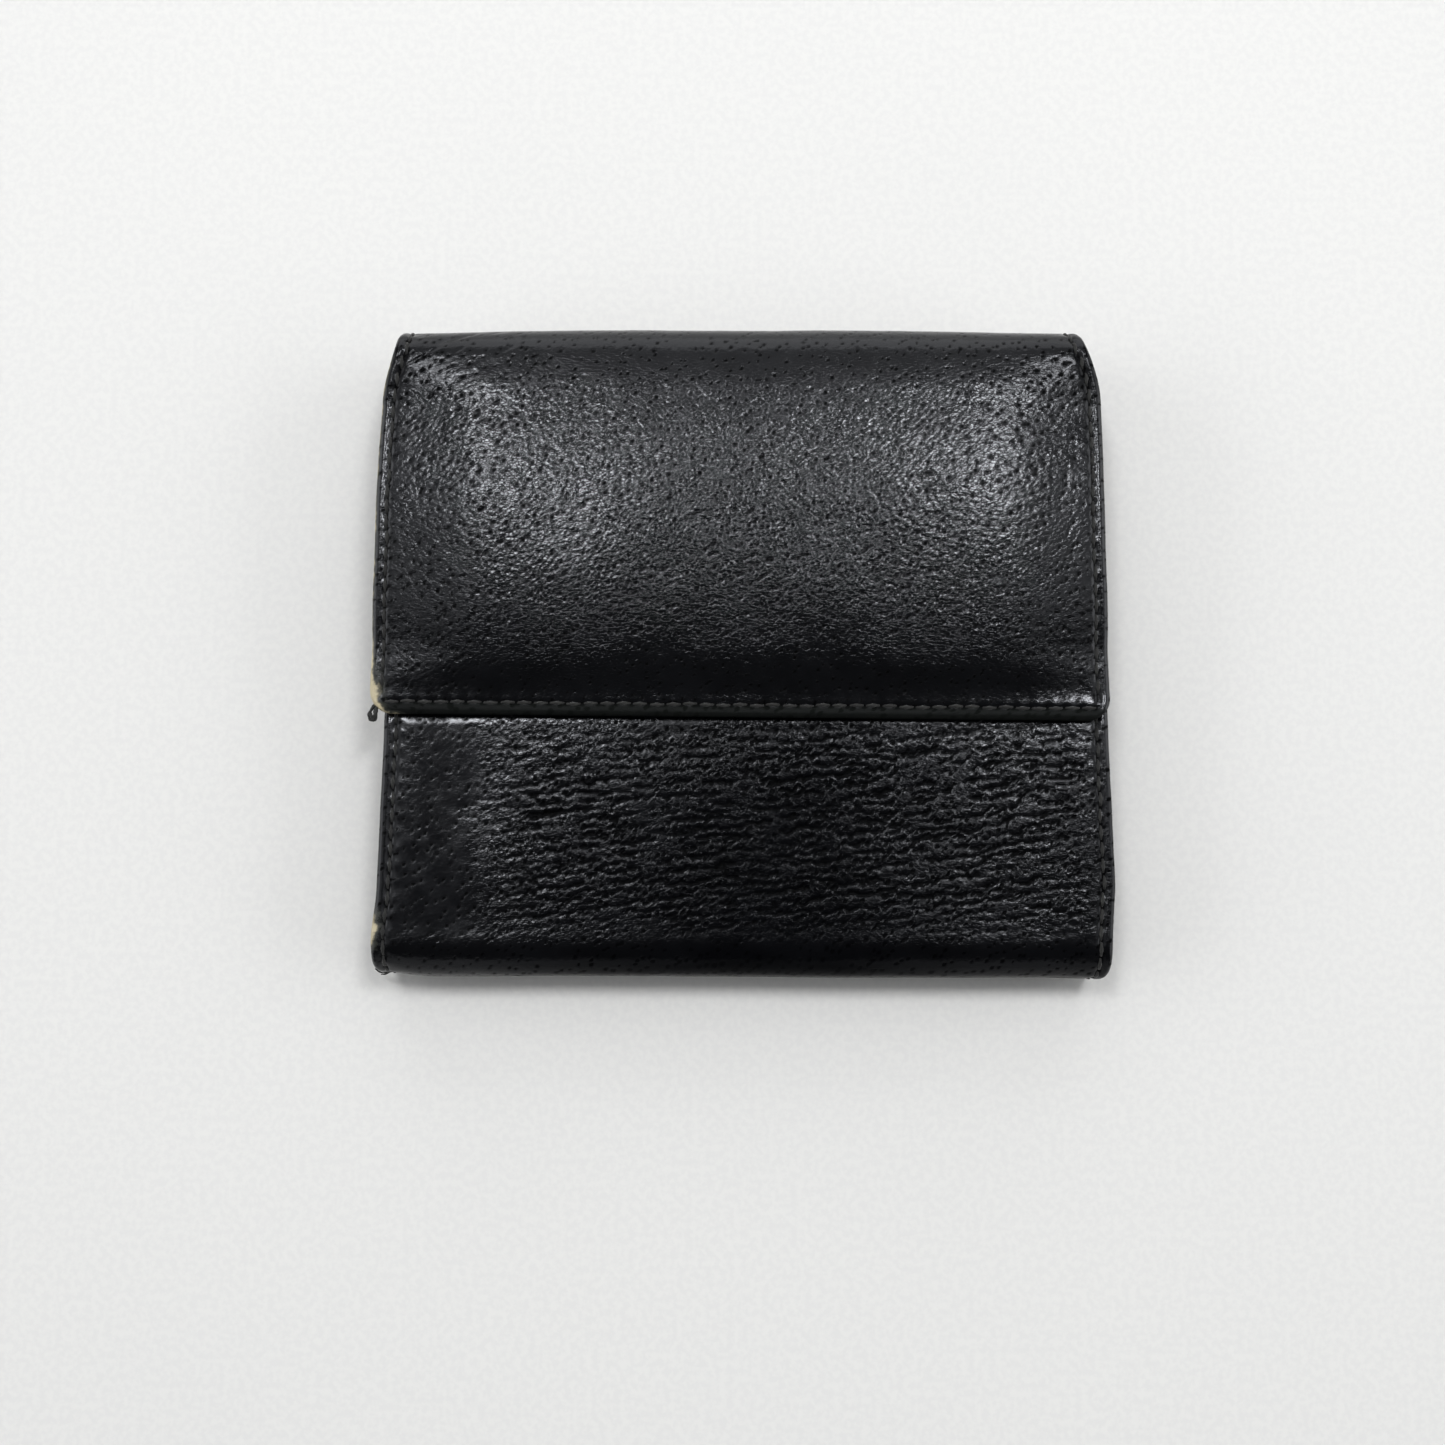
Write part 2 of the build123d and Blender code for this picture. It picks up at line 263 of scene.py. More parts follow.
def half_width(s):
    """The leather's half width: it tapers to the top fold and is a little narrower on the front panel."""
    y, _ = OUTER.at(s)
    share = np.clip((TOP_Y - y) / (TOP_Y - BOTTOM_Y), 0, 1)
    width = TOP_HALF_WIDTH - 0.3 + share * (BOTTOM_HALF_WIDTH - TOP_HALF_WIDTH)
    flap = 1.5 * ramp(S_RIDGE + 6, S_RIDGE - 4, s) + 0.2 * ramp(10, 0, s)
    front = 0.55 * ramp(S_BOTTOM - 3, S_BOTTOM + 4, s)
    folds = 1.1 * bell(s, S_TOP, 9) + 0.6 * bell(s, S_BOTTOM - 1, 3)
    return width - 0.3 + flap + front - folds + 0.12 * layered(s / 9, s * 0, 3)


def tip_distance(s):
    """How far a place is from the nearer end of the leather."""
    return np.minimum(s, LENGTH - s)


def edge_distance(x, s):
    """How far a place is from the leather's outline, whose corners at the tips are round."""
    side = half_width(s) - np.abs(x)
    end = tip_distance(s)
    corner = CORNER - np.hypot(np.maximum(CORNER - side, 0), np.maximum(CORNER - end, 0))
    return np.where((side < CORNER) & (end < CORNER), corner, np.minimum(side, end))


# ---- relief of the outer leather


def pad(x, s):
    """1 on the flap's raised pad and 0 round it."""
    across = ramp(57, 37, np.abs(x))
    return across * ramp(S_PAD - 3, S_PAD + 5, s) * ramp(S_RIDGE + 4, S_RIDGE - 3, s)


def broad(x, s):
    """Slow swelling and sagging of the outer leather, in millimetres outwards."""
    side = ramp(38, 60, np.abs(x))
    flap = ramp(1, 12, s) * ramp(S_RIDGE + 7, S_RIDGE - 8, s)
    height = (-1.4 * side - 0.8 * (x / 50) ** 2) * flap + 0.3 * pad(x, s)
    inside = ramp(0, 10, edge_distance(x, s))
    height = height + 0.32 * layered(x / 26, s / 21, 11, 2) * inside
    height = height - 0.25 * ramp(S_BOTTOM, S_FRONT + 4, s) * ramp(3, 12, edge_distance(x, s))
    bulge = (1.1 + 0.2 * x / BOTTOM_HALF_WIDTH) * (1 - 0.7 * ramp(-48, -57, x))
    height = height + bulge * bell(s, S_BOTTOM, 5.5)
    height = height + (0.55 - 0.9 * (x / 54) ** 2) * bell(s, S_TOP, 7)
    height = height - 0.25 * ramp(LENGTH - 10.5, LENGTH - 8.5, s)
    back = ramp(S_BACK_TOP - 8, S_BACK_TOP, s) * ramp(S_BACK_BOTTOM + 7, S_BACK_BOTTOM, s)
    return height * (1 - back) - 0.24 * back


def seam_relief(x, s):
    """The furrow along each seam, deepest at the needle holes, and the rounded edge past it."""
    side = half_width(s) - np.abs(x)
    end = tip_distance(s)
    furrow, pucker = 0, 0
    for d, other, along in ((side, end, s), (end, side, x)):
        hole = 0.5 - 0.5 * np.cos(2 * np.pi * along / PITCH)
        line = bell(d, SEAM, 0.42)
        inside = ramp(SEAM - 0.6, SEAM + 0.2, other)
        furrow = np.minimum(furrow, -(0.16 + 0.18 * hole) * line * inside)
        pucker = pucker - 0.06 * hole * bell(d, SEAM + 0.8, 0.9) * inside
    bead = 0.06 * bell(edge_distance(x, s), 0.9, 0.5)
    return furrow + bead + pucker


def pebbles(x, s):
    """Pigskin's small domes, drawn out along one diagonal: 0 in the creases, 1 on top."""
    a = math.radians(50)
    u = x * math.cos(a) + s * math.sin(a)
    v = s * math.cos(a) - x * math.sin(a)
    u = u + 0.25 * noise(x / 1.7, s / 1.7, 21)
    first, second = cells(u, v / 0.68, 23)
    return ramp(0.02, 0.55, second - first)


def pores(x, s):
    """Short deep pores in rows that rise to the right: 1 in a pore."""
    a = math.radians(28)
    u = x * math.cos(a) + s * math.sin(a) + 0.5 * noise(x / 6, s / 6, 25)
    v = s * math.cos(a) - x * math.sin(a) + 0.6 * noise(x / 7, s / 7, 27)
    along, across = 1.15, 1.9
    row = np.floor(v / across)
    nearest = np.full(x.shape, 9.0)
    for dj in (-1, 0, 1):
        j = row + dj
        shift = hashed(j, 1.0, 29) * 3
        i = np.floor(u / along + shift)
        for di in (-1, 0, 1):
            k = i + di
            pu = (k - shift + 0.15 + 0.7 * hashed(k, j, 31)) * along
            pv = (j + 0.15 + 0.7 * hashed(k, j, 32)) * across
            gone = hashed(k, j, 33) < 0.27
            size = 0.75 + 0.5 * hashed(k, j, 34)
            far = np.hypot((u - pu) / 0.34, (v - pv) / 0.27) / size + 9 * gone
            nearest = np.minimum(nearest, far)
    fold = np.maximum(bell(s, S_TOP, 9), bell(s, S_BOTTOM, 7))
    return ramp(1.2, 0.5, nearest) * (1 - 0.7 * fold)


def wrinkles(x, s):
    """Close ridges across the front panel that rise a little to the right: 0 in the furrows, 1 on top."""
    ragged = 0.42 * noise(x / 0.9, s / 1.0, 39) + 0.2 * noise(x / 0.55, s / 0.6, 40)
    result = 1
    for lean, pitch, seed in ((0.06, 1.45, 31), (0.15, 1.9, 35)):
        bent = 0.9 * layered(x / 11, s / 7, seed, 2) + ragged
        furrow = np.abs(np.sin(np.pi * (s - lean * x + bent) / pitch))
        healed = ramp(-0.3, 0.45, noise(x / 2.2, s / 1.3, seed + 3))
        result = np.minimum(result, np.maximum(furrow, healed))
    return ramp(0, 0.8, result)


def creases(x, s):
    """Fine slanting creases where the leather bends at the top fold, strongest at the left corner."""
    where = bell(s, S_RIDGE + 5, 4.5) * (0.12 + ramp(-25, -50, x))
    line = noise((x + 1.6 * s) / 7, (s - 0.6 * x) / 0.85, 41)
    return -where * ramp(0.15, 0.75, line)


def grain_amount(x, s):
    """How strongly the fine grain stands out: full on the pad and the wrinkled panel, weak at the folds."""
    fold = np.maximum(bell(s, S_TOP, 10), bell(s, S_BOTTOM, 8))
    worn = 0.5 + 0.35 * layered(x / 13, s / 11, 47, 2)
    strip = ramp(S_FRONT - 2, S_FRONT + 2, s) * ramp(-38, -44, x)
    amount = worn * (1 - 0.8 * fold) + 0.45 * pad(x, s) + 0.4 * wrinkle_amount(x, s)
    return np.clip(amount * (1 - 0.75 * strip), 0.1, 1.1)


def wrinkle_amount(x, s):
    """Where the front panel is wrinkled: its right two thirds, clear of the bottom fold."""
    along = ramp(S_FRONT - 1, S_FRONT + 5, s) * ramp(LENGTH - 9, LENGTH - 14, s)
    across = ramp(-44, -30, x) * ramp(54.5, 50, x)
    return along * across * (0.75 + 0.35 * layered(x / 15, s / 9, 53, 2))


def shade(x, s):
    """1 deep in a pore, a furrow or a needle hole, where little light gets in: the mask for the painted
    shade there.
    """
    furrow = wrinkle_amount(x, s) * ramp(0.55, 0.1, wrinkles(x, s))
    seam = ramp(-0.2, -0.34, seam_relief(x, s))
    return np.clip(np.maximum(np.maximum(pores(x, s), furrow), seam), 0, 1)


def painted_dimming(x, s):
    """Painted shade in the shine: less shine on the bottom fold, the ridge over the pad and, less, the front
    panel, dimming the reflections there.
    """
    panel = ramp(S_BOTTOM - 7, S_BOTTOM, s) * ramp(LENGTH - 8, LENGTH - 24, s)
    middle = ramp(S_BOTTOM - 7, S_BOTTOM, s) * bell(x, 4, 26)
    fold = bell(s, S_BOTTOM - 1, 5)
    right = 0.3 + 0.7 * ramp(-44, -32, x)
    ridge = bell(s, S_RIDGE + 1, 5) * (0.35 + 0.5 * ramp(38, 50, np.abs(x)))
    return np.clip(0.6 * panel * right + 0.7 * middle + 1.2 * fold + ridge, 0, 1.5)


def fine(x, s):
    """Seams, grain, wrinkles and creases of the outer leather, in millimetres outwards."""
    inside = ramp(0.2, 1.5, edge_distance(x, s))
    height = seam_relief(x, s)
    height = height + inside * 0.062 * grain_amount(x, s) * (pebbles(x, s) - 0.7)
    height = height + 0.2 * wrinkle_amount(x, s) * (wrinkles(x, s) - 0.6)
    strip = ramp(S_FRONT - 2, S_FRONT + 2, s) * ramp(-36, -44, x)
    deep = 0.09 * (1 - 0.6 * strip) * (0.4 + 0.6 * ramp(3, 5, edge_distance(x, s)))
    height = height - inside * deep * pores(x, s)
    height = height + 0.14 * creases(x, s)
    height = height + 0.05 * bell(s, S_RIDGE, 2.4) * ramp(54, 45, np.abs(x))
    return height + inside * 0.03 * layered(x / 3.1, s / 2.7, 59, 2)


def relief(x, s):
    """Everything that moves the outer leather's surface outwards."""
    return broad(x, s) + fine(x, s)


def wear(x, s):
    """How far the black has worn off: 1 is bare pale leather."""
    d = np.maximum(edge_distance(x, s), 0)
    rough = 0.5 + 0.5 * layered(x / 1.1, s / 1.1, 61)
    rim = bell(d, 0, 0.28)
    flap_side = ramp(0, 2, S_RIDGE + 4 - s) * ramp(7, 4, half_width(s) + x)
    bound = bell(d, 0, 0.5) * flap_side
    amount = 0.12 * rim + 0.62 * bound * (0.4 + rough)
    corners = (
        (0.8, -1, 5.0, 1.3),
        (0.5, 1, 1.4, 0.3),
        (S_FRONT + 1.2, -1, 3.0, 1.0),
        (S_BOTTOM, 1, 2.6, 0.5),
        (S_TOP - 6, -1, 2.0, 0.2),
    )
    for place, side, size, strength in corners:
        far = np.hypot((s - place) / size, (half_width(s) - side * x) / (0.45 * size))
        amount = amount + strength * bell(far, 0, 1) * (0.4 + 1.1 * rough)
    bottom = bell(s, S_BOTTOM + 1, 1.6) * ramp(56, 52, np.abs(x))
    return np.clip(np.maximum(amount, bottom * (0.32 + 0.28 * rough)), 0, 1)


# ---- meshes


def mesh_object(name, points, loops, sizes, normals=None, attributes=None):
    """An object from points in millimetres, the corners of its faces and each face's number of corners."""
    mesh = bpy.data.meshes.new(name)
    mesh.vertices.add(len(points))
    mesh.vertices.foreach_set("co", (points * MM).astype(np.float32).ravel())
    mesh.loops.add(len(loops))
    mesh.loops.foreach_set("vertex_index", loops.astype(np.int32))
    mesh.polygons.add(len(sizes))
    starts = np.concatenate([[0], np.cumsum(sizes)[:-1]])
    mesh.polygons.foreach_set("loop_start", starts.astype(np.int32))
    mesh.update(calc_edges=True)
    mesh.validate()
    mesh.shade_smooth()
    for key, value in (attributes or {}).items():
        kind, field = ("FLOAT_VECTOR", "vector") if value.ndim == 2 else ("FLOAT", "value")
        made = mesh.attributes.new(key, kind, "POINT")
        made.data.foreach_set(field, value.astype(np.float32).ravel())
    if normals is not None:
        mesh.normals_split_custom_set_from_vertices(normals)
    made = bpy.data.objects.new(name, mesh)
    bpy.context.scene.collection.objects.link(made)
    return made


def tube_faces(rows, ring, first_cap, last_cap):
    """Corners and sizes of the faces of rings joined in a row, with its ends closed."""
    r, c = np.meshgrid(np.arange(rows - 1), np.arange(ring), indexing="ij")
    nxt = (c + 1) % ring
    quads = np.stack([r * ring + c, r * ring + nxt, (r + 1) * ring + nxt, (r + 1) * ring + c], -1)
    loops = [quads.reshape(-1)]
    sizes = [np.full((rows - 1) * ring, 4)]
    if first_cap:
        loops.append(np.arange(ring)[::-1])
        sizes.append([ring])
    if last_cap:
        loops.append((rows - 1) * ring + np.arange(ring))
        sizes.append([ring])
    return np.concatenate(loops), np.concatenate(sizes)


def row_places(start, end, step, round_start, round_end, radius):
    """Places of the rows of a sheet, closer at a rounded end, and how thick each row is, from 0 to 1."""
    turn = np.radians([7, 16, 26, 37, 49, 62, 76])
    near = radius * (1 - np.cos(turn))
    low = start + radius if round_start else start
    high = end - radius if round_end else end
    middle = np.linspace(low, high, max(2, round((high - low) / step) + 1))
    runs = [start + near if round_start else [], middle, end - near[::-1] if round_end else []]
    s = np.concatenate(runs)
    full = np.ones(len(s))
    for rounded, distance in ((round_start, s - start), (round_end, end - s)):
        if rounded:
            full *= np.sqrt(1 - (1 - np.clip(distance / radius, 0, 1)) ** 2)
    return s, full


def sheet(name, path, span, width, top, bottom, step=COARSE_STEP, inner=16, corner=(0, 0),
          round_ends=(True, True), radius=None, notch=None, attributes=None, swap=False):
    """A closed sheet along part of a path, its sides rounded: width, top and bottom are functions of place.

    top and bottom give depths under the path at x, s. Rounded corners and rounded ends are optional at each
    end of the span, and a notch moves the far end back by a distance that depends on x. Swapped, the path
    lies in the XZ plane and the sheet is wide along Y.
    """
    start, end = span
    middle = (start + end) / 2
    radius = radius or float(bottom(0 * middle, middle) - top(0 * middle, middle)) / 2
    s, full = row_places(start, end, step, *round_ends, radius)
    lead = 0 if round_ends[0] else 1
    trail = 0 if round_ends[1] else 1
    s = np.concatenate([[start - step / 4] * lead, s, [end + step / 4] * trail])
    full = np.concatenate([[1.0] * lead, full, [1.0] * trail])[:, None]
    wide = np.broadcast_to(width(s), s.shape).astype(float).copy()
    for size, distance in ((corner[0], s - start), (corner[1], end - s)):
        if size:
            inside = np.clip(distance, 0, size)
            wide -= size - np.sqrt(size**2 - (size - inside) ** 2)
    count = max(4, round(2 * wide.max() / step))
    across = np.linspace(-1, 1, count + 1)
    turn = np.radians(np.linspace(90, -90, 9)[1:-1])
    back = np.linspace(1, -1, inner + 1)
    flat_x = np.concatenate([across, np.ones(len(turn)), back, -np.ones(len(turn))])
    roll_x = np.concatenate([0 * across, np.cos(turn), 0 * back, -np.cos(turn)])
    level = np.concatenate([0 * across + 1, np.sin(turn), 0 * back - 1, -np.sin(turn)])
    place = np.repeat(s[:, None], len(flat_x), 1)
    rounding = radius * full
    x = (wide[:, None] - rounding) * flat_x[None, :] + rounding * roll_x[None, :]
    if notch is not None:
        place = start + (place - start) * (end - start - notch(x)) / (end - start)
    high, low = top(x, place), bottom(x, place)
    centre = (high + low) / 2
    half = (low - high) / 2 * full
    depth = centre - half * level[None, :]
    if path is OUTER:
        y, z = outer_at(x, place, depth)
        points = np.stack([x + sideways(place), y, z], -1)
    else:
        y, z = path.at(place, depth)
        points = np.stack([y, x, z] if swap else [x, y, z], -1)
    along = np.gradient(points, axis=0)
    round_ring = np.roll(points, -1, axis=1) - np.roll(points, 1, axis=1)
    normals = np.cross(round_ring, along) * (-1 if swap else 1)
    normals /= np.maximum(np.linalg.norm(normals, axis=-1, keepdims=True), 1e-9)
    keep = slice(lead, len(s) - trail)
    points, normals, x, place, depth = (v[keep] for v in (points, normals, x, place, depth))
    loops, sizes = tube_faces(*x.shape, True, True)
    if swap:
        loops, sizes = loops[::-1], sizes[::-1]
    extra = {"cut": np.stack([x, place, depth], -1).reshape(-1, 3)}
    for key, function in (attributes or {}).items():
        extra[key] = function(x, place).reshape(-1)
    return mesh_object(name, points.reshape(-1, 3), loops, sizes, normals.reshape(-1, 3), extra)


def thread_tubes(name, centres, tangents, outward, radius, lift, dip):
    """Twisted stitches: each is a tube that arches out of the leather and dives back in at both ends."""
    k = np.linspace(-1, 1, 11)
    spread = np.linspace(0, 2 * np.pi, 9)[:-1]
    n = len(centres)
    rise = lift - (lift + dip) * np.abs(k) ** 2.6
    line = (
        centres[:, None, :]
        + tangents[:, None, :] * (k * STITCH / 2)[None, :, None]
        + outward[:, None, :] * rise[None, :, None]
    )
    side = np.cross(tangents, outward)
    twist = 1 + 0.2 * np.cos(2 * (spread[None, :] - 2.6 * k[:, None]))
    size = radius * twist * (1 - 0.25 * np.abs(k[:, None]) ** 4)
    points = (
        line[:, :, None, :]
        + side[:, None, None, :] * (np.cos(spread)[None, :] * size)[None, :, :, None]
        + outward[:, None, None, :] * (np.sin(spread)[None, :] * size * 0.85)[None, :, :, None]
    )
    one_loops, one_sizes = tube_faces(len(k), len(spread), True, True)
    per = len(k) * len(spread)
    loops = (np.arange(n)[:, None] * per + one_loops[None, :]).ravel()
    sizes = np.tile(one_sizes, n)
    worn = np.repeat(hashed(np.arange(n) * 1.0, 3.0, 71), per)
    along = np.tile(np.repeat(k, len(spread)), n)
    ply = np.tile(twist.ravel(), n)
    extra = {"shade": worn, "along": along, "ply": ply}
    return mesh_object(name, points.reshape(-1, 3), loops[::-1], sizes[::-1], None, extra)


def seam_places(span):
    """Places of the side stitches, x and s, that lie in a span of the outer leather."""
    s = np.arange(math.ceil(span[0] / PITCH), math.floor(span[1] / PITCH) + 1) * PITCH
    s = s[(s > max(span[0], SEAM + 0.8)) & (s < min(span[1], LENGTH - SEAM - 0.8))]
    x = half_width(s) - SEAM
    return np.concatenate([-x, x]), np.concatenate([s, s])


def hem_places(s):
    """Places of the stitches across one end of the leather."""
    reach = float(half_width(np.array(s))) - SEAM - 0.9
    x = np.arange(math.ceil(-reach / PITCH), math.floor(reach / PITCH) + 1) * PITCH
    return x, np.full(len(x), s)


def surface(x, s):
    """Points on the outer leather."""
    y, z = outer_at(x, s, -relief(x, s))
    return np.stack([x + sideways(s), y, z], -1)


def seam_stitches(name, sides, hem):
    """Stitches lying in the seams' furrows."""
    x, s = sides
    t = np.stack([0 * s, 0 * s + 1], -1)
    if hem is not None:
        x = np.concatenate([x, hem[0]])
        s = np.concatenate([s, hem[1]])
        t = np.concatenate([t, np.stack([0 * hem[0] + 1, 0 * hem[0]], -1)])
    jitter = 0.26 * (hashed(x, s, 73) - 0.5)
    x, s = x + jitter * t[:, 1], s + jitter * t[:, 0]
    e = 0.35
    ahead = surface(x + e * t[:, 0], s + e * t[:, 1])
    behind = surface(x - e * t[:, 0], s - e * t[:, 1])
    tangent = ahead - behind
    tangent /= np.linalg.norm(tangent, axis=1, keepdims=True)
    y0, z0 = OUTER.at(s, 0)
    y1, z1 = OUTER.at(s, 1)
    outward = np.stack([0 * s, y0 - y1, z0 - z1], -1)
    outward -= tangent * (outward * tangent).sum(1, keepdims=True)
    outward /= np.linalg.norm(outward, axis=1, keepdims=True)
    return thread_tubes(name, surface(x, s), tangent, outward, 0.25, 0.06, 0.34)


def thickness(x, s):
    """The leather's thickness: double where its edges are turned in."""
    return LEATHER + (EDGE - LEATHER) * ramp(TURN_WIDTH + 1, TURN_WIDTH - 0.5, edge_distance(x, s))


def inside_depth(x, s):
    """Depth of the leather's inside: on the flap it follows the padding, elsewhere a board keeps it flat."""
    flap = ramp(S_RIDGE + 8, S_RIDGE - 4, s)
    swell = broad(x, s)
    flat = thickness(x, s) - np.clip(swell, 0, 0.3)
    return flat + flap * (thickness(x, s) - swell - flat)


def lining_depth(x, s):
    """Depth of the lining: against the turned edges, and flat behind the flap's padding."""
    _, z = outer_at(x, s)
    _, lower = outer_at(x, s, 1.0)
    against = np.maximum(inside_depth(x, s), EDGE) + 0.02
    flat = (z - FLAP_INSIDE_Z - LINING + 0.07) / np.maximum(z - lower, 0.6)
    covered = ramp(2.4, 3.4, half_width(s) - np.abs(x)) * ramp(2.5, 6, s)
    covered = covered * ramp(S_RIDGE + 8, S_RIDGE + 3, s)
    return against + covered * (np.maximum(flat, against) - against)


def hem(x, s):
    """1 on the matt band below the seam at the flap's tip."""
    return ramp(SEAM + 0.1, SEAM - 0.35, s) + 0 * x


# ---- materials


class Shader:
    """A node material, built one node at a time."""

    def __init__(self, name):
        self.material = bpy.data.materials.new(name)
        self.material.use_nodes = True
        self.tree = self.material.node_tree
        self.tree.nodes.clear()

    def node(self, kind, inputs, **settings):
        """A node with its settings, each input a number or another node's output."""
        made = self.tree.nodes.new("ShaderNode" + kind)
        for key, value in settings.items():
            setattr(made, key, value)
        for key, value in inputs.items():
            if isinstance(value, bpy.types.NodeSocket):
                self.tree.links.new(value, made.inputs[key])
            else:
                made.inputs[key].default_value = value
        return made

    def attribute(self, name, vector=False):
        made = self.node("Attribute", {}, attribute_name=name)
        return made.outputs["Vector" if vector else "Fac"]

    def math(self, operation, a, b=0.0, c=0.0, clamp=False):
        made = self.node("Math", {0: a, 1: b, 2: c}, operation=operation, use_clamp=clamp)
        return made.outputs[0]

    def scaled(self, value, by, plus=0.0):
        """A value times a number or another value, plus an offset."""
        return self.math("MULTIPLY_ADD", value, by, plus)

    def between(self, value, low, high, to_low=0.0, to_high=1.0):
        """A smooth step from low to high."""
        inputs = {"Value": value, "From Min": low, "From Max": high, "To Min": to_low, "To Max": to_high}
        return self.node("MapRange", inputs, interpolation_type="SMOOTHSTEP").outputs[0]

    def noise(self, vector, scale, detail=3.0, rough=0.55):
        inputs = {"Vector": vector, "Scale": scale, "Detail": detail, "Roughness": rough}
        return self.node("TexNoise", inputs).outputs[0]

    def mix(self, factor, a, b):
        """A mix of two colours."""
        made = self.node("Mix", {0: factor, 6: a, 7: b}, data_type="RGBA")
        return made.outputs[2]

    def stretched(self, vector, angle, scale):
        inputs = {"Vector": vector, "Rotation": (0, 0, math.radians(angle)), "Scale": scale}
        return self.node("Mapping", inputs).outputs[0]

    def cracks(self, vector, scale):
        """1 along the fine lines between a leather's grains."""
        lines = self.node("TexVoronoi", {"Vector": vector, "Scale": scale},
                          feature="DISTANCE_TO_EDGE", voronoi_dimensions="2D").outputs["Distance"]
        return self.between(lines, 0.12, 0.0)

    def finish(self, tone, rough, height=None, more=None):
        """The material, from its colour, roughness, relief in millimetres and any other inputs."""
        inputs = {"Base Color": tone, "Roughness": rough} | (more or {})
        if height is not None:
            bump = self.node("Bump", {"Height": height, "Strength": 1.0, "Distance": MM})
            inputs["Normal"] = bump.outputs[0]
        made = self.node("BsdfPrincipled", inputs)
        self.node("OutputMaterial", {"Surface": made.outputs[0]})
        return self.material


def colour(r, g, b):
    return (r, g, b, 1.0)


def outer_leather():
    """Black pigskin: pores, fine grain, a faint blue cast, painted shade (near black and less shine) deep in
    pores, furrows and needle holes, shine painted down on the bottom fold, the ridge and the front panel,
    and pale leather where it has worn through.
    """
    m = Shader("outer_leather")
    cut = m.attribute("cut", vector=True)
    cavity_shade = m.attribute("cavity_shade")
    band = m.attribute("hem")
    mottle = m.noise(cut, 0.09, 4)
    drawn = m.stretched(cut, -50, (0.7, 1.35, 1))
    grit = m.noise(drawn, 1.3, 2, 0.5)
    fine_relief = m.scaled(m.cracks(drawn, 1.7), -0.012, m.scaled(grit, 0.1))
    height = m.scaled(fine_relief, m.attribute("grain"))
    # Painted shade: less shine deep in pores, furrows and needle holes.
    gloss = m.scaled(cavity_shade, -0.47, 0.5)
    gloss = m.scaled(band, -0.4, gloss)
    # Painted shade in the shine: less shine on the bottom fold, the ridge over the pad and the front panel,
    # to dim the reflections there.
    gloss = m.scaled(m.attribute("painted_dimming"), -0.3, gloss)
    gloss = m.math("MAXIMUM", gloss, 0.03)
    patches = m.between(mottle, 0.3, 0.7)
    black = m.mix(patches, colour(0.0018, 0.0019, 0.0025), colour(0.0036, 0.0038, 0.0048))
    # Painted shade: near black deep in pores, furrows and needle holes.
    black = m.mix(m.scaled(cavity_shade, 0.9), black, colour(0.0008, 0.0008, 0.0008))
    matt = m.mix(m.noise(cut, 0.9, 3), colour(0.004, 0.0048, 0.0046), colour(0.010, 0.0115, 0.010))
    black = m.mix(m.scaled(band, 0.85), black, matt)
    bare = m.math("ADD", m.attribute("wear"), m.scaled(m.noise(cut, 1.7, 4), 0.5, -0.27))
    rubbed = m.mix(m.between(bare, 0.12, 0.4), black, colour(0.03, 0.0315, 0.027))
    rubbed = m.mix(m.between(bare, 0.42, 0.85), rubbed, colour(0.42, 0.375, 0.265))
    rough = m.between(m.noise(cut, 0.35, 4), 0.25, 0.75, 0.16, 0.24)
    rough = m.scaled(cavity_shade, 0.2, rough)
    rough = m.scaled(band, 0.35, rough)
    rough = m.math("ADD", rough, m.between(bare, 0.1, 0.7, 0, 0.35), clamp=True)
    more = {"Specular IOR Level": gloss, "Specular Tint": colour(0.93, 0.95, 1.0)}
    return m.finish(rubbed, rough, height, more)


def inner_leather():
    """Smooth dark leather with a fine even grain."""
    m = Shader("inner_leather")
    cut = m.attribute("cut", vector=True)
    crack = m.cracks(cut, 1.9)
    height = m.scaled(crack, -0.03, m.scaled(m.noise(cut, 3.0, 3), 0.02))
    tone = m.mix(m.noise(cut, 0.06, 3), colour(0.006, 0.0058, 0.0056), colour(0.015, 0.0142, 0.0135))
    tone = m.mix(m.scaled(crack, 0.4), tone, colour(0.006, 0.006, 0.006))
    rough = m.between(m.noise(cut, 0.3, 3), 0.3, 0.7, 0.48, 0.62)
    return m.finish(tone, rough, height)


def lining_fabric():
    """Plain woven black lining."""
    m = Shader("lining_fabric")
    cut = m.attribute("cut", vector=True)
    apart = m.node("SeparateXYZ", {0: cut})
    across, along = (m.math("SINE", m.scaled(axis, 2 * math.pi / 0.55)) for axis in apart.outputs[:2])
    weave = m.scaled(across, along)
    height = m.scaled(m.math("ABSOLUTE", weave), 0.05, m.scaled(m.noise(cut, 5), 0.02))
    tone = m.mix(m.between(weave, -0.4, 0.4), colour(0.007, 0.007, 0.0075), colour(0.018, 0.018, 0.019))
    tone = m.mix(m.scaled(m.noise(cut, 0.1, 3), 0.4), tone, colour(0.03, 0.03, 0.03))
    return m.finish(tone, 0.75, height, {"Sheen Weight": 0.25, "Sheen Roughness": 0.4})


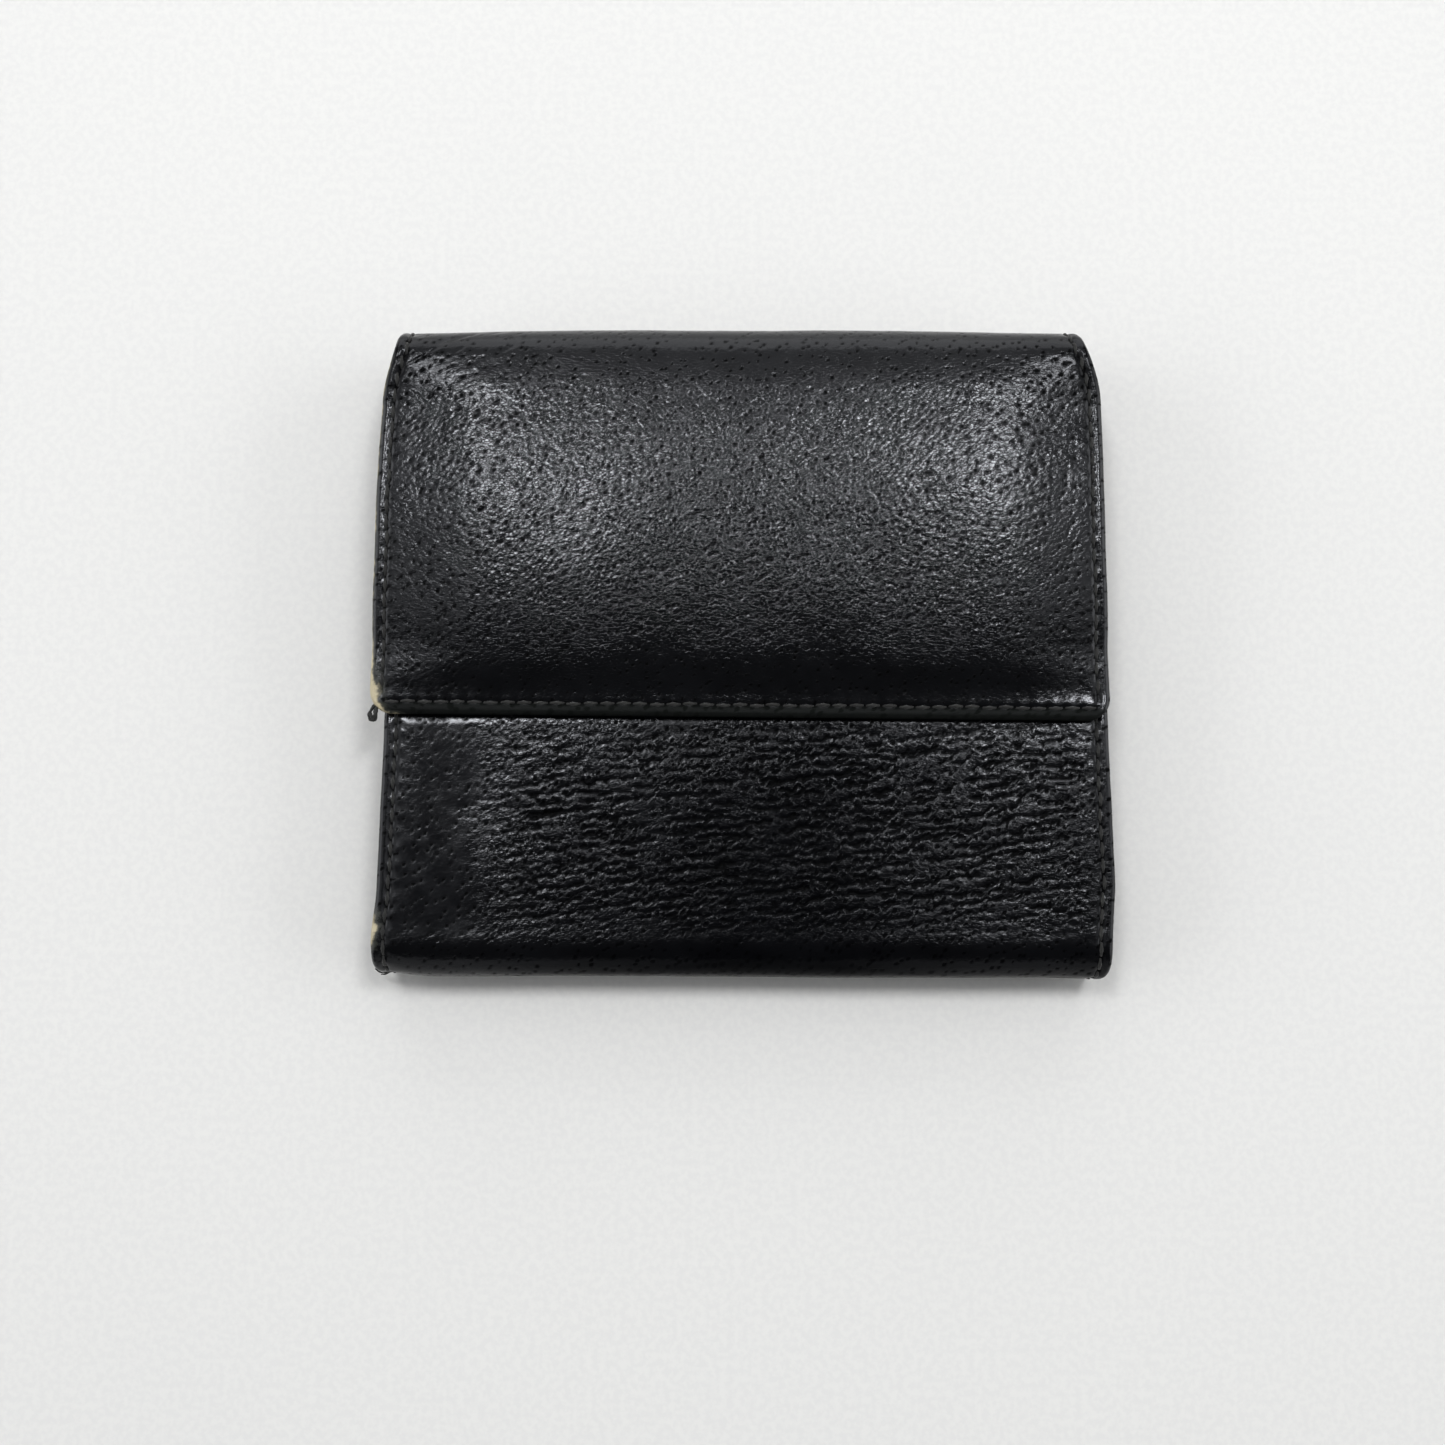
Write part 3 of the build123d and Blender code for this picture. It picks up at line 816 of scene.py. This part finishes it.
def seam_thread():
    """Dark thread, lighter grey on the middle of each stitch and on the crests of its plies: partly wear,
    partly a painted highlight.
    """
    m = Shader("seam_thread")
    # Painted highlight and wear: the middle of each stitch and the crests of its plies are lighter grey, by
    # a random amount per stitch.
    top = m.between(m.attribute("along"), -0.9, -0.1)
    top = m.scaled(top, m.between(m.attribute("along"), 0.9, 0.1))
    ply = m.between(m.attribute("ply"), 0.85, 1.15)
    worn = m.scaled(m.scaled(top, m.attribute("shade")), ply)
    tone = m.mix(worn, colour(0.004, 0.004, 0.004), colour(0.024, 0.026, 0.023))
    return m.finish(tone, 0.7, more={"Sheen Weight": 0.2})


def board():
    """Raw grey-brown board with short fibres."""
    m = Shader("board")
    place = m.node("TexCoord", {}).outputs["Object"]
    fibre = m.noise(m.stretched(place, 0, (400, 2200, 2200)), 1.0, 4)
    tone = m.mix(fibre, colour(0.30, 0.25, 0.18), colour(0.47, 0.40, 0.30))
    return m.finish(tone, 0.9, m.scaled(fibre, 0.04))


def foam():
    """Off-white open-cell foam, with painted shade in the hollows of its cells."""
    m = Shader("foam")
    cut = m.attribute("cut", vector=True)
    cell = m.node("TexVoronoi", {"Vector": cut, "Scale": 2.2}).outputs["Distance"]
    # Painted shade: darker where the cells dip in.
    tone = m.mix(cell, colour(0.42, 0.39, 0.31), colour(0.62, 0.59, 0.5))
    return m.finish(tone, 0.95, m.scaled(cell, 0.12))


def clear_film():
    """Clear film with fine scratches."""
    m = Shader("clear_film")
    place = m.node("TexCoord", {}).outputs["Object"]
    scratch = m.noise(m.stretched(place, 25, (300, 6000, 300)), 1.0, 3)
    rough = m.between(scratch, 0.45, 0.75, 0.06, 0.3)
    return m.finish(colour(0.9, 0.92, 0.93), rough, more={"IOR": 1.45, "Transmission Weight": 0.92})


def floor_paint():
    """Pale grey-white surface with a faint speckle."""
    m = Shader("floor")
    place = m.node("TexCoord", {}).outputs["Object"]
    fleck = m.noise(place, 900, 2)
    cloud = m.noise(place, 14, 2)
    tone = m.mix(m.between(fleck, 0.35, 0.65), colour(0.63, 0.63, 0.625), colour(0.66, 0.66, 0.65))
    tone = m.mix(m.scaled(cloud, 0.2), tone, colour(0.585, 0.59, 0.595))
    return m.finish(tone, 0.6)


LOOKS = {
    "outer_leather": outer_leather(),
    "inner_leather": inner_leather(),
    "lining_fabric": lining_fabric(),
    "seam_thread": seam_thread(),
    "board": board(),
    "foam": foam(),
    "clear_film": clear_film(),
}


def placed(made, look, move, nodes):
    """A piece with its material, the body it moves with and the CAD nodes it stands for; a bend, given as a
    tuple, is not applied and the piece stays fixed where it is made.
    """
    made.data.materials.append(LOOKS[look])
    if isinstance(move, str):
        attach(made, move)
    else:
        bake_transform(made)
    if nodes:
        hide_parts(*nodes)


# ---- the folded outer leather and its lining

TOP_MIDDLE = (TOP_Y, FOLD_Z / 2)
BOTTOM_MIDDLE = (BOTTOM_Y, FRONT_Z / 2)
# Each run: its CAD nodes' name, its span, which ends are tips, and the body it moves with or a bend, which
# the pieces don't follow
PARTS = (
    ("flap", "flap", (0, S_TOP), (True, False),
     ("flap", "top_spine", (TOP_Y - 9, FOLD_Z), (TOP_Y, FOLD_Z / 2 + 0.6))),
    ("top_fold", "top_spine", (S_TOP, S_BACK_TOP), (False, False),
     ("top_spine", "back", TOP_MIDDLE, (TOP_Y - 9, 0))),
    ("back", "back", (S_BACK_TOP, S_BACK_BOTTOM), (False, False), "back"),
    ("bottom_fold", "bottom_spine", (S_BACK_BOTTOM, S_BOTTOM), (False, False),
     ("back", "bottom_spine", (BOTTOM_Y + 8, 0), (BOTTOM_Y, FRONT_Z / 2 - 0.4))),
    ("front", "front", (S_BOTTOM, LENGTH), (False, True),
     ("bottom_spine", "front", BOTTOM_MIDDLE, (BOTTOM_Y + 8, FRONT_Z))),
)


def outer_pieces():
    """The outer leather in five runs, each with its side seams."""
    hems = {"flap": hem_places(SEAM), "front": hem_places(LENGTH - SEAM)}
    for name, cad, span, tips, move in PARTS:
        leather = sheet(
            f"{name}_leather", OUTER, span, half_width,
            top=lambda x, s: -relief(x, s), bottom=inside_depth, step=GRAIN_STEP, inner=64,
            corner=(CORNER * tips[0], CORNER * tips[1]), round_ends=tips, radius=EDGE / 2,
            # The pore, furrow and needle-hole mask carries painted shade, and so does the mask of dimmed
            # shine.
            attributes={"wear": wear, "hem": hem, "cavity_shade": shade, "painted_dimming": painted_dimming, "grain": grain_amount},
        )
        placed(leather, "outer_leather", move, [f"{cad}_cover"])
        stitches = seam_stitches(f"{name}_seams", seam_places(span), hems.get(name))
        placed(stitches, "seam_thread", move, [f"{cad}_stitching"])


def lining_reach(s):
    """The lining's half width: on the flap it reaches 1 mm further out, past the board's edges."""
    return half_width(s) - LINING_SIDE + ramp(S_RIDGE + 8, S_RIDGE + 3, s)


def lining_pieces():
    """The lining behind the outer leather, in the same runs."""
    for name, cad, (start, end), tips, move in PARTS:
        span = (start + LINING_TIP * tips[0], end - LINING_TIP * tips[1])
        cloth = sheet(
            f"{name}_lining_cloth", OUTER, span, lining_reach,
            top=lining_depth, bottom=lambda x, s: lining_depth(x, s) + 0.18, step=0.9, inner=60,
            corner=(2.0 * tips[0], 2.0 * tips[1]), round_ends=tips, radius=0.09,
        )
        placed(cloth, "lining_fabric", move, [f"{cad}_lining"])


def flap_padding():
    """The foam between the flap's leather and its board."""
    low, high = box_mm("flap_padding")
    span = (OUTER.near(low[1] + 1, 16), OUTER.near(high[1] - 1, 17.5))
    floor = low[2] + 0.05

    def under(x, s):
        _, z = OUTER.at(s)
        return np.maximum(z - floor, inside_depth(x, s) + 0.4)

    made = sheet("flap_foam", OUTER, span, lambda s: high[0], top=lambda x, s: inside_depth(x, s) + 0.03,
                 bottom=under, inner=40, corner=(4, 4), radius=0.7)
    placed(made, "foam", "flap", ["flap_padding"])


# ---- flat leather inside


def taper(y):
    """The half width of the CAD outline at Y."""
    share = (TOP_Y - y) / (TOP_Y - BOTTOM_Y)
    return TOP_HALF_WIDTH + share * (BOTTOM_HALF_WIDTH - TOP_HALF_WIDTH)


def flat_leather(node, body, notch=None, corner=(1.5, 1.5)):
    """A flat sheet in place of a CAD node. A notched one has a line pressed along that mouth."""
    low, high = box_mm(node)
    path = Path(np.array([(low[1], high[2]), (high[1], high[2])]), soften=0)
    inset = taper(low[1]) - high[0]
    length = high[1] - low[1]
    thick = high[2] - low[2]

    def waves(x, s):
        return 0.03 * layered(x / 19, s / 14, 83, 2)

    def line(s):
        return 0.09 * bell(length - s, 1.6, 0.28) if notch else 0

    made = sheet(
        f"{node}_leather", path, (0, length), lambda s: taper(low[1] + s) - inset,
        top=lambda x, s: line(s) - waves(x, s), bottom=lambda x, s: thick - line(s) - waves(x, s),
        step=0.8, inner=90, corner=corner, radius=thick / 2, notch=notch,
    )
    placed(made, "inner_leather", body, [node])


def thumb_notch(x):
    """How far a card slot's mouth dips, at each X."""
    return 4.0 * ramp(9.5, 3.0, np.abs(x))


def flat_seams(name, body, z, facing, lines):
    """Straight rows of stitches on a flat sheet: each line from one X, Y to another."""
    centres, tangents = [], []
    for (x0, y0), (x1, y1) in lines:
        length = math.hypot(x1 - x0, y1 - y0)
        share = (np.arange(int(length / PITCH)) + 0.5) * PITCH / length
        centres.append(np.stack([x0 + share * (x1 - x0), y0 + share * (y1 - y0), 0 * share + z], 1))
        tangents.append(np.tile([(x1 - x0) / length, (y1 - y0) / length, 0], (len(share), 1)))
    centres, tangents = np.vstack(centres), np.vstack(tangents)
    outward = np.tile([0, 0, float(facing)], (len(centres), 1))
    made = thread_tubes(name, centres, tangents, outward, 0.2, 0.08, 0.3)
    placed(made, "seam_thread", body, [])


def middle_panel():
    """The bill compartment's divider and side gusset, and the card slots."""
    flat_leather("bill_divider", "back", corner=(0, 0))
    flat_leather("card_panel_backing", "back")
    for i in range(4):
        flat_leather(f"card_slot_{i + 1}", "back", notch=thumb_notch)
    for i in range(4):
        slot_low, slot_high = box_mm(f"card_slot_{i + 1}")
        below = box_mm(f"card_slot_{i + 2}")[1][1] if i < 3 else slot_low[1] + 1.5
        inset = taper(slot_low[1]) - slot_high[0] + 2
        x_high, x_low = taper(slot_high[1]) - inset, taper(below) - inset
        lines = [((side * x_high, slot_high[1] - 1), (side * x_low, below + 0.5)) for side in (-1, 1)]
        flat_seams(f"card_slot_{i + 1}_seams", "back", slot_high[2], 1, lines)
    gusset()


def gusset():
    """The pleated side of the bill compartment, along its closed edge."""
    low, high = box_mm("bill_side_gusset")
    x = (low[0] + high[0]) / 2
    rise = np.linspace(low[2] + 0.15, high[2] - 0.15, 9)
    fold = 1.1 * np.sin(np.pi * (rise - low[2]) / (high[2] - low[2]))
    path = Path(np.stack([x + fold, rise], 1), soften=0.3)
    middle = (taper(low[1]) + taper(high[1])) / 2
    made = sheet("bill_side_gusset_leather", path, (0, path.s[-1]), lambda s: high[1] - 0.5,
                 top=lambda y, s: middle - taper(y), bottom=lambda y, s: middle - taper(y) + 0.5,
                 step=0.7, inner=80, radius=0.25, swap=True)
    placed(made, "inner_leather", "back", ["bill_side_gusset"])


def flap_inside():
    """The slip pockets inside the flap."""
    for i in (1, 2):
        node = f"flap_slip_pocket_{i}"
        flat_leather(node, "flap", notch=thumb_notch)
        low, high = box_mm(node)
        edge = high[0] - 2
        lines = [((-edge, low[1] + 2), (edge, low[1] + 2))]
        for side in (-1, 1):
            lines.append(((side * edge, low[1] + 2.5), (side * (edge - 0.5), high[1] - 1)))
        flat_seams(f"{node}_seams", "flap", low[2], -1, lines)


def rounded_box(angle, half_x, half_y, power):
    """Points on a rectangle with slightly rounded corners, one at each angle from its middle."""
    c, s = np.cos(angle), np.sin(angle)
    size = (np.abs(c / half_x) ** power + np.abs(s / half_y) ** power) ** (-1 / power)
    return np.stack([size * c, size * s], 1)


def window_frame():
    """The leather frame round the front panel's ID window."""
    low, high = box_mm("id_window_frame")
    film_low, film_high = box_mm("id_window_film")
    centre = (film_low + film_high) / 2
    hole = (film_high - film_low)[:2] / 2 - 3
    count = 240
    angle = np.linspace(0, 2 * np.pi, count, endpoint=False) + 0.01
    inner = centre[:2] + rounded_box(angle, *hole, 14)
    y_low, y_high = low[1], high[1]
    half = (y_high - y_low) / 2
    middle_y = (y_low + y_high) / 2
    wide = taper(middle_y) - taper(y_low) + high[0]
    outer = (0, middle_y) + rounded_box(angle, wide, half, 30)
    thick = film_low[2] - low[2]
    turn = np.radians(np.linspace(-90, 90, 9)[1:-1])
    share = np.concatenate([np.linspace(0, 1, 24), np.ones(7), np.linspace(1, 0, 24), np.zeros(7)])
    shift = np.concatenate([np.zeros(24), np.cos(turn), np.zeros(24), -np.cos(turn)]) * thick / 2
    level = np.concatenate([-np.ones(24), np.sin(turn), np.ones(24), -np.sin(turn)]) * thick / 2
    direction = outer - inner
    length = np.linalg.norm(direction, axis=1, keepdims=True)
    flat = inner[:, None, :] + direction[:, None, :] * share[None, :, None]
    flat = flat + (direction / length)[:, None, :] * shift[None, :, None]
    from_hole = share[None, :] * length
    line = 0.08 * bell(from_hole, 1.4, 0.3) * (level < 0)[None, :]
    height = low[2] + thick / 2 + level[None, :] + line
    points = np.concatenate([flat, height[..., None]], -1).reshape(-1, 3)
    loops, sizes = tube_faces(count + 1, len(share), False, False)
    made = mesh_object("id_window_frame_leather", points, loops % len(points), sizes, None, {"cut": points})
    placed(made, "inner_leather", "front", ["id_window_frame"])
    x, y0, y1 = wide - 2, y_low + 2, y_high - 2
    lines = [((-x, y), (x, y)) for y in (y0, y1)]
    lines += [((side, y0 + 1), (side, y1 - 1)) for side in (-x, x)]
    flat_seams("id_window_seams", "front", low[2], -1, lines)


def fold_dividers():
    """The bill compartment's inner wall where it crosses each fold, in two halves."""
    divider_low, divider_high = box_mm("bill_divider")
    frame_low, _ = box_mm("id_window_frame")
    start_z = divider_low[2] + 0.3
    runs = (
        ("top_fold", "top_spine", "flap", 1, divider_high[1], TOP_Y - 3.2, FLAP_INSIDE_Z - 0.05),
        ("bottom_fold", "bottom_spine", "front", -1, divider_high[1], -BOTTOM_Y - 3.2, frame_low[2] - 0.3),
    )
    for name, spine, far, side, edge_y, out_y, end_z in runs:
        middle_z = (start_z + end_z) / 2
        first, turn, last = (
            (side * (edge_y - 0.5), start_z),
            (side * out_y, middle_z),
            (side * (edge_y - 0.5), end_z),
        )
        points = [
            first,
            (side * (edge_y + 0.9), start_z + 0.15),
            (side * (out_y - 0.3), start_z + 1.3),
            turn,
            (side * (out_y - 0.3), end_z - 1.3),
            (side * (edge_y + 0.9), end_z - 0.15),
            last,
        ]
        path = Path(through(points), soften=0.3)
        middle = path.near(*turn)
        inner_side = 0.5 if side < 0 else 0.0
        halves = (
            ("lower", (0, middle), ("back", spine, first, turn)),
            ("upper", (middle, path.s[-1]), (spine, far, turn, last)),
        )
        for part, span, move in halves:
            made = sheet(
                f"{name}_divider_{part}", path, span, lambda s: taper(side * out_y) - 4,
                top=lambda x, s: inner_side - 0.5 + 0 * x,
                bottom=lambda x, s: inner_side + 0 * x,
                step=0.6, inner=60, round_ends=(False, False), radius=0.25,
            )
            placed(made, "inner_leather", move, [f"{spine}_divider"])


# ---- loose threads, floor, light and camera


def strand(points, radius, twist):
    """The points of one thin bent thread of round section, in millimetres."""
    line = through(points, 8)
    along = np.gradient(line, axis=0)
    along /= np.linalg.norm(along, axis=1, keepdims=True)
    side = np.cross(along, [0.3, 0.2, 0.93])
    side /= np.linalg.norm(side, axis=1, keepdims=True)
    up = np.cross(side, along)
    a = np.linspace(0, 2 * np.pi, 8, endpoint=False)
    turn = a[None, :] + twist * np.arange(len(line))[:, None]
    size = radius * (1 + 0.22 * np.cos(2 * a))[None, :, None]
    spoke = np.cos(turn)[..., None] * side[:, None] + np.sin(turn)[..., None] * up[:, None]
    return line[:, None, :] + size * spoke


def strands(name, runs, radius, body, node):
    """Several loose threads as one piece."""
    points, loops, sizes = [], [], []
    count = 0
    for run in runs:
        ring = strand(run, radius, 0.35)
        one, one_sizes = tube_faces(ring.shape[0], ring.shape[1], True, True)
        loops.append(one + count)
        sizes.append(one_sizes)
        points.append(ring.reshape(-1, 3))
        count += len(points[-1])
    points = np.vstack(points)
    n = len(points)
    extra = {"shade": np.full(n, 0.55), "along": np.zeros(n), "ply": np.full(n, 1.05)}
    made = mesh_object(name, points, np.concatenate(loops), np.concatenate(sizes), None, extra)
    placed(made, "seam_thread", body, [node])


def loose_threads():
    """The knot of thread at the flap's lower left corner and the frayed ends at the bottom left corner."""
    low, high = box_mm("flap_loose_thread")
    x, y, z = (low[0] + high[0]) / 2, low[1] + 1.0, (low[2] + high[2]) / 2
    knot = [
        [(x + 1.4, y + 1.6, z), (x + 0.2, y + 0.9, z + 0.1), (x - 0.6, y - 0.3, z + 0.1),
         (x - 0.6, y - 1.1, z), (x - 0.1, y - 1.4, z), (x + 0.35, y - 0.9, z),
         (x + 0.3, y + 0.2, z + 0.2), (x + 1.2, y + 1.2, z + 0.3)],
        [(x - 0.5, y - 0.4, z + 0.4), (x - 0.1, y - 1.0, z + 0.3), (x + 0.3, y - 0.4, z + 0.4),
         (x + 0.6, y + 0.7, z + 0.3)],
    ]
    strands("flap_thread_knot", knot, 0.27, "flap", "flap_loose_thread")
    low, high = box_mm("bottom_loose_thread")
    x, y, z = high[0], high[1], (low[2] + high[2]) / 2
    fray = [
        [(x + 1.6, y - 0.3, z), (x + 0.2, y - 0.75, z + 0.1), (x - 1.4, y - 0.9, z + 0.3),
         (x - 2.3, y - 0.3, z + 0.8)],
        [(x + 0.6, y - 0.4, z + 0.4), (x - 0.6, y - 1.1, z + 0.3), (x - 1.5, y - 1.2, z - 0.2)],
    ]
    strands("bottom_thread_fray", fray, 0.11, "bottom_spine", "bottom_loose_thread")


def floor():
    """A pale surface under the wallet."""
    bpy.ops.mesh.primitive_plane_add(size=5, location=(0, 0, 0))
    plane = bpy.context.object
    plane.name = "floor"
    plane.data.materials.append(floor_paint())


# Each light: how far it leans towards +X and +Y from straight overhead, in degrees, its width and depth in
# metres, and how bright its face is
LIGHTS = {
    "ceiling_light": (0, 44, 1.6, 1.0, 0.8),
    "left_light": (-14, 18, 0.2, 0.42, 32),
    "right_light": (16, 18, 0.22, 0.42, 31),
    "left_ceiling": (-37, 8, 0.9, 1.2, 0.8),
    "right_ceiling": (38, 8, 0.9, 1.2, 0.8),
    "left_wall": (-74, 5, 2.0, 1.3, 2.1),
    "right_wall": (74, 5, 2.0, 1.3, 2.1),
    "far_wall": (0, 76, 2.0, 1.2, 1.8),
    "near_wall": (0, -78, 2.0, 0.9, 0.6),
}
LIGHT_DISTANCE = 1.6


def softboxes():
    """Flat soft lights that all face the wallet."""
    for name, (across, beyond, width, depth, bright) in LIGHTS.items():
        lamp = bpy.data.lights.new(name, "AREA")
        lamp.shape = "RECTANGLE"
        lamp.size, lamp.size_y = width, depth
        lamp.energy = bright * math.pi * width * depth
        toward = Vector((math.tan(math.radians(across)), math.tan(math.radians(beyond)), 1)).normalized()
        made = bpy.data.objects.new(name, lamp)
        made.location = toward * LIGHT_DISTANCE
        made.rotation_euler = toward.to_track_quat("Z", "Y").to_euler()
        made.visible_camera = False
        bpy.context.scene.collection.objects.link(made)


def room():
    """Dim light from all round, and a pale backdrop behind everything."""
    world = bpy.data.worlds.new("room")
    world.use_nodes = True
    tree = world.node_tree
    dim = tree.nodes["Background"]
    dim.inputs[0].default_value = (0.95, 0.97, 1.0, 1)
    dim.inputs[1].default_value = 0.08
    pale = tree.nodes.new("ShaderNodeBackground")
    pale.inputs[0].default_value = (0.80, 0.80, 0.80, 1)
    seen = tree.nodes.new("ShaderNodeLightPath")
    pick = tree.nodes.new("ShaderNodeMixShader")
    tree.links.new(seen.outputs["Is Camera Ray"], pick.inputs[0])
    tree.links.new(dim.outputs[0], pick.inputs[1])
    tree.links.new(pale.outputs[0], pick.inputs[2])
    tree.links.new(pick.outputs[0], tree.nodes["World Output"].inputs[0])
    bpy.context.scene.world = world
    bpy.context.scene.view_settings.view_transform = "Standard"
    bpy.context.scene.view_settings.gamma = 0.88


def camera():
    """Almost straight down, from a little on the near side."""
    lens = bpy.data.cameras.new("camera")
    lens.lens = 45.3
    lens.clip_start = 0.01
    made = bpy.data.objects.new("camera", lens)
    made.location = (-0.0023, -0.0347, 0.2925)
    made.rotation_euler = (math.radians(4.68), math.radians(0.13), math.radians(0.09))
    bpy.context.scene.collection.objects.link(made)
    bpy.context.scene.camera = made


def cad_looks():
    """Materials for the CAD nodes that stay: boards and film, hidden or flat."""
    for node, look in (
        ("back_stiffener", "board"),
        ("front_stiffener", "board"),
        ("flap_stiffener", "board"),
        ("id_window_film", "clear_film"),
    ):
        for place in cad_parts[node].material_slots:
            place.link = "OBJECT"
            place.material = LOOKS[look]


outer_pieces()
lining_pieces()
flap_padding()
middle_panel()
flap_inside()
window_frame()
fold_dividers()
loose_threads()
cad_looks()
floor()
softboxes()
room()
camera()
